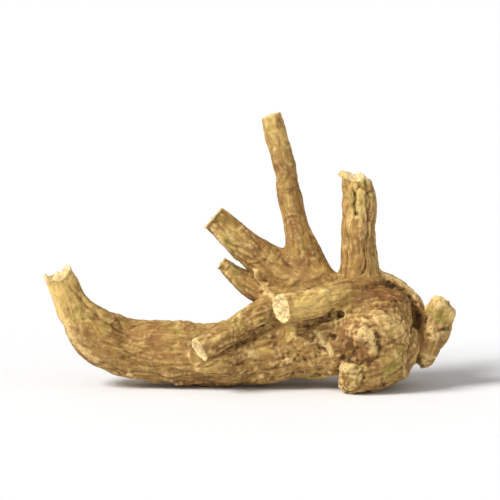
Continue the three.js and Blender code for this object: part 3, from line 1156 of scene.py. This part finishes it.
class Finish:
    """A material and its node tree."""

    def __init__(self, name):
        self.material = bpy.data.materials.new(name)
        self.material.use_nodes = True
        self.tree = self.material.node_tree
        self.tree.nodes.clear()

    def add(self, kind, settings=None, sockets=None, output=0):
        """Adds a node, sets it, and gives it its values and links. Returns one of its outputs."""
        node = self.tree.nodes.new(kind)
        for name, value in (settings or {}).items():
            setattr(node, name, value)
        for name, value in (sockets or {}).items():
            if isinstance(value, Wire):
                self.tree.links.new(value.socket, node.inputs[name])
            else:
                node.inputs[name].default_value = value
        return Wire(self, node.outputs[output]) if len(node.outputs) else node

    def attribute(self, name, output="Fac"):
        """What the mesh holds for each vertex under a name."""
        return self.add("ShaderNodeAttribute", {"attribute_name": name}, output=output)

    def spread(self, value, low, high):
        """A value stretched so that low is 0 and high is 1."""
        sockets = {"Value": value, "From Min": low, "From Max": high}
        return self.add("ShaderNodeMapRange", {"interpolation_type": "SMOOTHSTEP"}, sockets)

    def noise(self, vector, scale, detail=2.0, roughness=0.5, output="Fac"):
        """A soft random pattern, from 0 to 1."""
        sockets = {"Vector": vector, "Scale": scale, "Detail": detail, "Roughness": roughness}
        return self.add("ShaderNodeTexNoise", {}, sockets, output)

    def tint(self, factor, colour, other):
        """Turns a colour into another one by a factor."""
        settings = {"data_type": "RGBA", "blend_type": "MIX"}
        return self.add("ShaderNodeMix", settings, {0: factor, 6: colour, 7: other}, output=2)

    def end(self, shader):
        """Gives the material its shader, and returns the material."""
        self.add("ShaderNodeOutputMaterial", {}, {"Surface": shader})
        return self.material


def rgba(colour):
    """A colour with full cover, as sockets take it."""
    return (*colour, 1.0)


# Sizes of the colour patterns, as waves in a metre, or in a millimetre of a limb's own space
SWAY_SCALE = 240.0
PATCH_SCALE = 120.0
MOTTLE_SCALE = 420.0
SPECK_SCALE = 1500.0
GRAIN_SCALE = 2600.0
BLUSH_SCALE = 0.45
FIBRE_SCALE = (1.5, 1.5, 0.22)
SWAY = (1.6, 1.6, 3.0)  # how far the fibres sway, in millimetres
MIDDLE = 0.5  # a noise's middle value

# How much each value counts: in the shade of the skin's colour, in the hue, on ridges, in the darkening that
# is partly dirt and partly painted shade, and in the bump
SHADE = {"tone": 0.9, "patch": 1.8, "mottle": 3.2}
BLUSH = 4.0
RIDGE = {"fine": 0.5, "broad": 0.45, "worn": 0.9}
# Dirt is real soil; creases, hollows, shelter and undersides darken the colour as painted shade
DIRT_AND_PAINTED_SHADE = {"fine": 0.45, "broad": 0.5, "dirt": 0.75, "shelter": 0.4, "under": 0.3, "worn": 0.8}
BUMP = {"grain": 0.45, "fibre": 0.7, "mottle": 0.5, "speck": 0.3}

# The most that each tint covers what lies under it
TINT = {"olive": 0.75, "rust": 0.65, "dark fibre": 0.5, "light fibre": 0.45, "worn": 0.85}
FLESH_TINT = {"heart": 0.45, "ring": 0.55, "crack": 0.5, "rim": 0.7, "speck": 0.4}

# Where each look begins and where it is full, on the value that it follows
OLIVE_HUE = (0.1, 1.2)
RUST_HUE = (-0.1, -1.2)
DARK_FIBRE = (0.5, 0.66)
LIGHT_FIBRE = (0.48, 0.34)
FINE_RIDGE = (-0.015, -0.09)
BROAD_RIDGE = (-0.08, -0.45)
FINE_CREASE = (0.015, 0.1)
BROAD_HOLLOW = (0.05, 0.45)
SHELTERED = (0.4, 1.0)
PALE_ENOUGH = (-1.3, 0.0)  # the tone at which ridges are rubbed pale
WORN_SPECKS = (0.3, 0.52)
DIRT_SPECKS = (0.75, 0.35)
FLESH_SPECKS = (0.5, 0.75)
HEART = (0.45, 0.9)
CRACKS = (0.1, 0.32)
RIM_SKIN = (0.14, 0.02)
CAMBIUM_BLUR = 0.1  # how far the dark ring's colour fades to each side

BUMP_STRENGTH = 0.6
BUMP_DISTANCE = 0.3 * MM
LEAST_ROUGHNESS = 0.62
MORE_ROUGHNESS = 0.2
ROUGH_MOTTLE = (0.2, 0.8)
SKIN_GLOSS = 0.35


def root_skin(colours):
    """The skin of the dried root, with its cut faces."""
    finish = Finish("ginseng_skin")
    place = finish.add("ShaderNodeTexCoord", output="Object")
    grain = finish.attribute("grain", "Vector")
    dirt = finish.attribute("dirt")
    worn = finish.attribute("worn")
    fine_hollow = finish.attribute("fine_hollow")
    broad_hollow = finish.attribute("broad_hollow")
    shelter = finish.attribute("shelter")
    hue = finish.attribute("hue")
    tone = finish.attribute("tone")

    stray = finish.noise(place, SWAY_SCALE, output="Color")
    sockets = {0: stray, 1: SWAY, 2: grain}
    swayed = finish.add("ShaderNodeVectorMath", {"operation": "MULTIPLY_ADD"}, sockets)
    fibre_space = finish.add("ShaderNodeMapping", {}, {"Vector": swayed, "Scale": FIBRE_SCALE})
    fibre = finish.noise(fibre_space, 1.0, detail=4.0, roughness=0.65)
    mottle = finish.noise(place, MOTTLE_SCALE, detail=3.0, roughness=0.6)
    blush = finish.noise(swayed, BLUSH_SCALE, detail=3.0, roughness=0.6)
    patch = finish.noise(place, PATCH_SCALE, detail=3.0)
    speck = finish.noise(place, SPECK_SCALE, detail=3.0, roughness=0.7)

    shade = tone * SHADE["tone"] + (patch - MIDDLE) * SHADE["patch"] + (mottle - MIDDLE) * SHADE["mottle"]
    colour = finish.tint(finish.spread(shade, 0.0, 1.0), rgba(colours.skin), rgba(colours.skin_light))
    colour = finish.tint(finish.spread(shade, 0.0, -1.0), colour, rgba(colours.skin_dark))
    hue_here = hue + (blush - MIDDLE) * BLUSH
    colour = finish.tint(finish.spread(hue_here, *OLIVE_HUE) * TINT["olive"], colour, rgba(colours.olive))
    colour = finish.tint(finish.spread(hue_here, *RUST_HUE) * TINT["rust"], colour, rgba(colours.rust))
    dark_fibre = finish.spread(fibre, *DARK_FIBRE) * TINT["dark fibre"]
    light_fibre = finish.spread(fibre, *LIGHT_FIBRE) * TINT["light fibre"]
    colour = finish.tint(dark_fibre, colour, rgba(colours.skin_dark))
    colour = finish.tint(light_fibre, colour, rgba(colours.skin_light))

    fine_ridge = finish.spread(fine_hollow, *FINE_RIDGE) * RIDGE["fine"]
    broad_ridge = finish.spread(broad_hollow, *BROAD_RIDGE) * RIDGE["broad"]
    ridge = (fine_ridge + broad_ridge + worn * RIDGE["worn"]).held()
    ridge = ridge * finish.spread(speck, *WORN_SPECKS) * finish.spread(tone, *PALE_ENOUGH)
    colour = finish.tint(ridge * TINT["worn"], colour, rgba(colours.worn))

    # Painted shade: creases, broad hollows, places hemmed in by other limbs and undersides are darkened
    # towards the dirt colour, together with the real dirt in furrows and pits and the dirt of the marks,
    # some of which is a painted shadow
    sunk = finish.spread(fine_hollow, *FINE_CREASE) * DIRT_AND_PAINTED_SHADE["fine"]
    sunk = sunk + finish.spread(broad_hollow, *BROAD_HOLLOW) * DIRT_AND_PAINTED_SHADE["broad"]
    sunk = sunk + dirt * DIRT_AND_PAINTED_SHADE["dirt"] + finish.spread(shelter, *SHELTERED) * DIRT_AND_PAINTED_SHADE["shelter"]
    sunk = sunk + finish.attribute("under") * DIRT_AND_PAINTED_SHADE["under"] - worn * DIRT_AND_PAINTED_SHADE["worn"]
    colour = finish.tint(sunk.held() * finish.spread(speck, *DIRT_SPECKS), colour, rgba(colours.dirt))
    colour = finish.tint(finish.attribute("cut"), colour, flesh_colour(finish, colours, speck))

    fine = finish.noise(place, GRAIN_SCALE, detail=3.0, roughness=0.65)
    height = fine * BUMP["grain"] + fibre * BUMP["fibre"] + mottle * BUMP["mottle"] + speck * BUMP["speck"]
    sockets = {"Strength": BUMP_STRENGTH, "Distance": BUMP_DISTANCE, "Height": height}
    bump = finish.add("ShaderNodeBump", {}, sockets)
    roughness = finish.spread(mottle, *ROUGH_MOTTLE) * MORE_ROUGHNESS + LEAST_ROUGHNESS
    sockets = {
        "Base Color": colour,
        "Roughness": roughness,
        "Specular IOR Level": SKIN_GLOSS,
        "Normal": bump,
    }
    return finish.end(finish.add("ShaderNodeBsdfPrincipled", {}, sockets))


def flesh_colour(finish, colours, speck):
    """The colour of the cut faces: pale flesh in a thin skin, with a dark ring and dark cracks."""
    core = finish.attribute("core")
    ray = finish.attribute("ray")
    outer_side = finish.spread(core, CAMBIUM_PLACE - CAMBIUM_BLUR, CAMBIUM_PLACE)
    inner_side = finish.spread(core, CAMBIUM_PLACE + CAMBIUM_BLUR, CAMBIUM_PLACE)
    heart = finish.spread(core, *HEART) * FLESH_TINT["heart"]
    crack = finish.spread(ray, *CRACKS) * FLESH_TINT["crack"]
    rim = finish.spread(core, *RIM_SKIN) * FLESH_TINT["rim"]
    specks = finish.spread(speck, *FLESH_SPECKS) * FLESH_TINT["speck"]
    colour = finish.tint(heart, rgba(colours.flesh), rgba(colours.cambium))
    colour = finish.tint(outer_side * inner_side * FLESH_TINT["ring"], colour, rgba(colours.cambium))
    colour = finish.tint(crack, colour, rgba(colours.cambium))
    colour = finish.tint(rim, colour, rgba(colours.skin_light))
    return finish.tint(specks, colour, rgba(colours.skin))


def floor_finish(stage):
    """A plain matt floor."""
    finish = Finish("floor_paint")
    sockets = {"Base Color": rgba(stage.floor_colour), "Roughness": 0.9, "Specular IOR Level": 0.1}
    return finish.end(finish.add("ShaderNodeBsdfPrincipled", {}, sockets))


# Settings


def relief_property(name, description, default):
    """A height or a depth of the relief, in millimetres."""
    return FloatProperty(name=name, description=description, default=default)


class GINSENG_PG_form(PropertyGroup):
    """The sizes of the root's relief."""

    voxel_size: FloatProperty(
        name="Voxel size",
        description="Side of the small faces that the skin is made of",
        default=0.275 * MM,
        min=0.1 * MM,
        unit="LENGTH",
        precision=5,
    )
    lump_height: relief_property("Lump height", "Height of the uneven growth, in mm", 0.9)
    bump_height: relief_property("Bump height", "Height of the small bumps, in mm", 0.45)
    furrow_depth: relief_property("Furrow depth", "Depth of the furrows, in mm", 0.5)
    ring_depth: relief_property("Ring depth", "Depth of the rings, in mm", 0.45)
    wart_height: relief_property("Wart height", "Height of the warts, in mm", 0.5)
    pit_depth: relief_property("Pit depth", "Depth of the pits, in mm", 0.55)


def colour_property(name, description, default):
    """A colour, as the linear values that Blender works with."""
    return FloatVectorProperty(
        name=name, description=description, subtype="COLOR", size=3, min=0.0, max=1.0, default=default
    )


class GINSENG_PG_colours(PropertyGroup):
    """The root's colours."""

    skin: colour_property("Skin", "Middle tone of the dried skin", srgb(170, 130, 72))
    skin_light: colour_property("Light skin", "Straw tone of the dried skin", srgb(230, 192, 112))
    skin_dark: colour_property("Dark skin", "Brown tone of the dried skin", srgb(126, 86, 42))
    olive: colour_property("Olive", "Greenish patches", srgb(150, 136, 58))
    rust: colour_property("Rust", "Reddish patches", srgb(158, 104, 62))
    worn: colour_property("Worn", "Ridges and warts rubbed pale", srgb(238, 204, 138))
    # The dirt colour is also the colour of the painted shade in creases, hollows, sheltered places and
    # undersides
    dirt: colour_property("Dirt", "Soil left in pits and furrows", srgb(66, 40, 18))
    flesh: colour_property("Flesh", "Cut faces", srgb(246, 220, 162))
    cambium: colour_property("Cambium", "The darker ring in a cut face", srgb(178, 132, 76))


class GINSENG_PG_stage(PropertyGroup):
    """The floor, the camera and the lights."""

    floor_colour: colour_property("Floor", "Colour of the floor", (0.88, 0.88, 0.88))
    elevation: FloatProperty(
        name="Elevation",
        description="Angle from which the camera looks down",
        default=LOOK_DOWN,
        subtype="ANGLE",
    )
    distance: FloatProperty(
        name="Distance",
        description="From the camera to the root",
        default=1.2,
        unit="LENGTH",
    )
    view_width: FloatProperty(
        name="View width",
        description="Width that the picture shows at the root",
        default=0.0885,
        unit="LENGTH",
    )
    key_strength: FloatProperty(name="Key strength", description="Strength of the main light", default=3.3)
    sky_strength: FloatProperty(name="Sky strength", description="Strength of the even light", default=0.4)


# Operators


class GINSENG_OT_grow_root(Operator):
    """Grow the root's fine skin and give it its finish"""

    bl_idname = "ginseng.grow_root"
    bl_label = "Grow Root"

    def execute(self, context):
        scene = context.scene
        mesh = grow_root(scene.ginseng_form)
        mesh.name = "root"
        mesh.materials.clear()
        mesh.materials.append(root_skin(scene.ginseng_colours))
        root = bpy.data.objects.new("dried_root", mesh)
        scene.collection.objects.link(root)
        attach(root, "root")
        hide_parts(ROOT_NODE)
        return {"FINISHED"}


FLOOR_SIDE = 4.0
FLOOR_DROP = 0.05 * MM  # how far the floor lies under the root, so that the two don't flicker
KEY_FROM = (-0.65, -0.35, 0.7)  # the side that the light comes from
KEY_SPREAD = 24  # degrees, and more of them make softer shadows
FILL_FROM = (0.7, -0.45, 0.35)
FILL_SPREAD = 60
FILL_SHARE = 0.08  # the fill light's strength beside the key light's
SENSOR_WIDTH = 36  # millimetres


class GINSENG_OT_set_stage(Operator):
    """Lay the floor, and set the lights and the camera"""

    bl_idname = "ginseng.set_stage"
    bl_label = "Set Stage"

    def execute(self, context):
        scene = context.scene
        stage = scene.ginseng_stage
        low, high = (Vector(corner) for corner in CAD_BOX)
        target = (low + high) / 2
        self.lay_floor(scene, stage)
        self.hang_light(scene, "key", KEY_FROM, KEY_SPREAD, stage.key_strength)
        self.hang_light(scene, "fill", FILL_FROM, FILL_SPREAD, stage.key_strength * FILL_SHARE)
        self.place_camera(scene, stage, target)
        self.set_world(scene, stage)
        return {"FINISHED"}

    def lay_floor(self, scene, stage):
        half = FLOOR_SIDE / 2
        mesh = bpy.data.meshes.new("floor")
        corners = [(x * half, y * half, -FLOOR_DROP) for x, y in ((-1, -1), (1, -1), (1, 1), (-1, 1))]
        mesh.from_pydata(corners, [], [(0, 1, 2, 3)])
        mesh.materials.append(floor_finish(stage))
        floor = bpy.data.objects.new("floor", mesh)
        scene.collection.objects.link(floor)

    def hang_light(self, scene, name, side, spread, strength):
        """A far light that comes from one side, spread over an angle in degrees."""
        data = bpy.data.lights.new(name, "SUN")
        data.angle = math.radians(spread)
        data.energy = strength
        light = bpy.data.objects.new(name, data)
        light.location = side
        light.rotation_euler = (-Vector(side)).to_track_quat("-Z", "Y").to_euler()
        scene.collection.objects.link(light)

    def place_camera(self, scene, stage, target):
        data = bpy.data.cameras.new("camera")
        data.sensor_width = SENSOR_WIDTH
        data.lens = data.sensor_width * stage.distance / stage.view_width
        camera = bpy.data.objects.new("camera", data)
        back = Vector((0, -math.cos(stage.elevation), math.sin(stage.elevation)))
        camera.location = target + back * stage.distance
        camera.rotation_euler = (-back).to_track_quat("-Z", "Y").to_euler()
        scene.collection.objects.link(camera)
        scene.camera = camera

    def set_world(self, scene, stage):
        world = bpy.data.worlds.new("studio")
        world.use_nodes = True
        background = world.node_tree.nodes["Background"]
        background.inputs["Color"].default_value = (1.0, 1.0, 1.0, 1.0)
        background.inputs["Strength"].default_value = stage.sky_strength
        scene.world = world
        scene.view_settings.view_transform = "Standard"


class GINSENG_PT_panel(Panel):
    """Lists the steps that make the root"""

    bl_label = "Ginseng Root"
    bl_idname = "GINSENG_PT_panel"
    bl_space_type = "VIEW_3D"
    bl_region_type = "UI"
    bl_category = "Ginseng"

    def draw(self, context):
        scene = context.scene
        for group in (scene.ginseng_form, scene.ginseng_colours, scene.ginseng_stage):
            box = self.layout.box()
            for name in group.__annotations__:
                box.prop(group, name)
        for step in STEPS:
            self.layout.operator(step.bl_idname)


STEPS = (GINSENG_OT_grow_root, GINSENG_OT_set_stage)
CLASSES = (GINSENG_PG_form, GINSENG_PG_colours, GINSENG_PG_stage, *STEPS, GINSENG_PT_panel)


def register():
    for item in CLASSES:
        bpy.utils.register_class(item)
    bpy.types.Scene.ginseng_form = PointerProperty(type=GINSENG_PG_form)
    bpy.types.Scene.ginseng_colours = PointerProperty(type=GINSENG_PG_colours)
    bpy.types.Scene.ginseng_stage = PointerProperty(type=GINSENG_PG_stage)


def unregister():
    del bpy.types.Scene.ginseng_stage
    del bpy.types.Scene.ginseng_colours
    del bpy.types.Scene.ginseng_form
    for item in reversed(CLASSES):
        bpy.utils.unregister_class(item)


def main():
    """Makes the root and its stage."""
    register()
    bpy.ops.ginseng.grow_root()
    bpy.ops.ginseng.set_stage()


if __name__ == "__main__":
    main()
